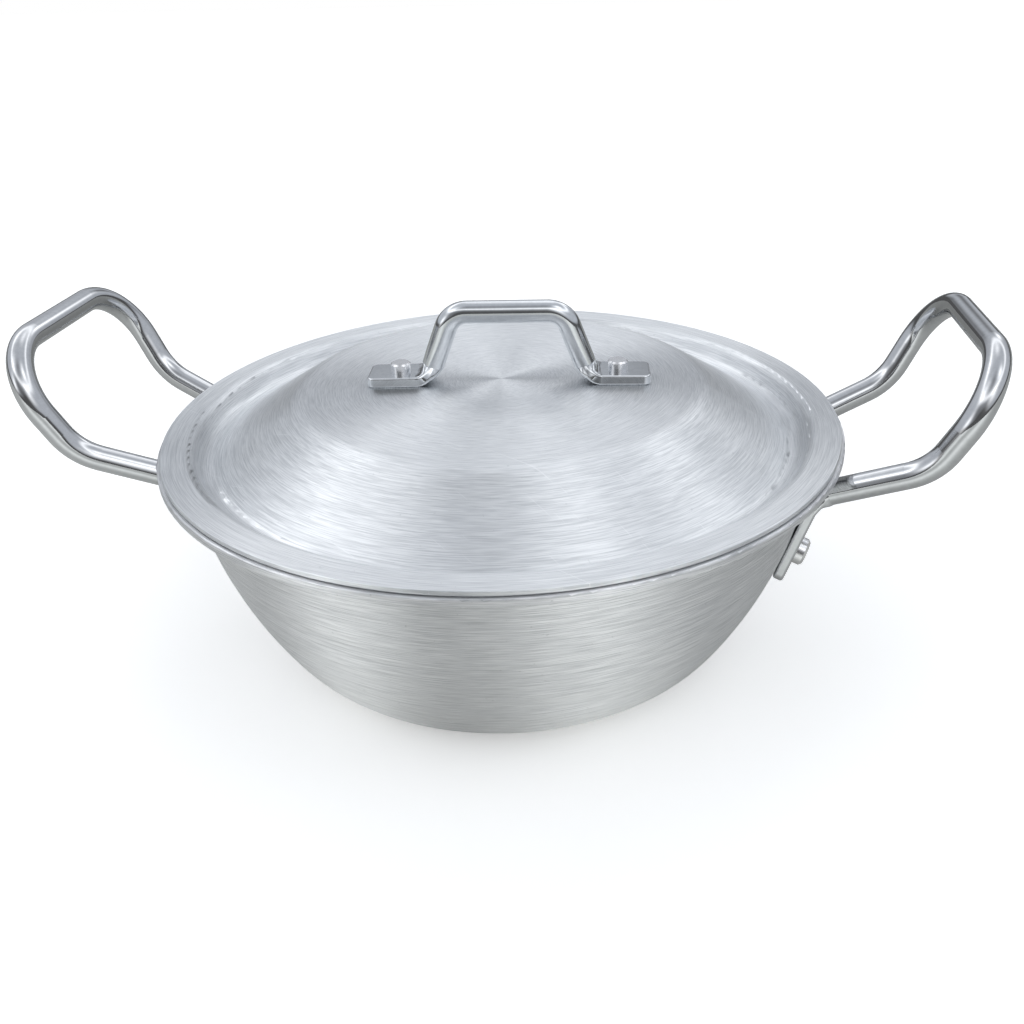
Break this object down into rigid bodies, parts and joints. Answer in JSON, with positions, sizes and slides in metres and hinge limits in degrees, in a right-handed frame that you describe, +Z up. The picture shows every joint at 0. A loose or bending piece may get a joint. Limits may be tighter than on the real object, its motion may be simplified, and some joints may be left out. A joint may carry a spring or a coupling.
{
  "type": "kadai",
  "caption": "Round-bottomed aluminium kadai with a flanged rim, riveted rod loop handles and a dished lift-off lid with a riveted bridge handle.",
  "frame": {"origin": "middle of the flat base, on the surface that the pan stands on", "axes": "+Z up; +X towards the right side handle, the left one lies on -X; +Y towards the back"},
  "size_m": [0.4118, 0.2988, 0.1592],
  "materials": {
    "pan_aluminium": "spun and brushed sheet, satin",
    "lid_aluminium": "spun and brushed sheet, satin",
    "handle_steel": "polished rod",
    "lid_handle_steel": "polished rod with satin feet",
    "rivet_aluminium": "upset rivet, lightly polished"
  },
  "bodies": {
    "pan_body": {"pan": "pan_aluminium", "right_handle": "handle_steel", "left_handle": "handle_steel", "rivet_right_front": "rivet_aluminium", "rivet_right_back": "rivet_aluminium", "rivet_left_front": "rivet_aluminium", "rivet_left_back": "rivet_aluminium"},
    "lid_body": {"lid": "lid_aluminium", "lid_handle": "lid_handle_steel", "lid_rivet_left": "rivet_aluminium", "lid_rivet_right": "rivet_aluminium"}
  },
  "joints": [
    {"name": "lid_lift", "type": "slide", "parent": "pan_body", "child": "lid_body", "axis": [0, 0, 1], "range_m": [0, 0.15]}
  ]
}
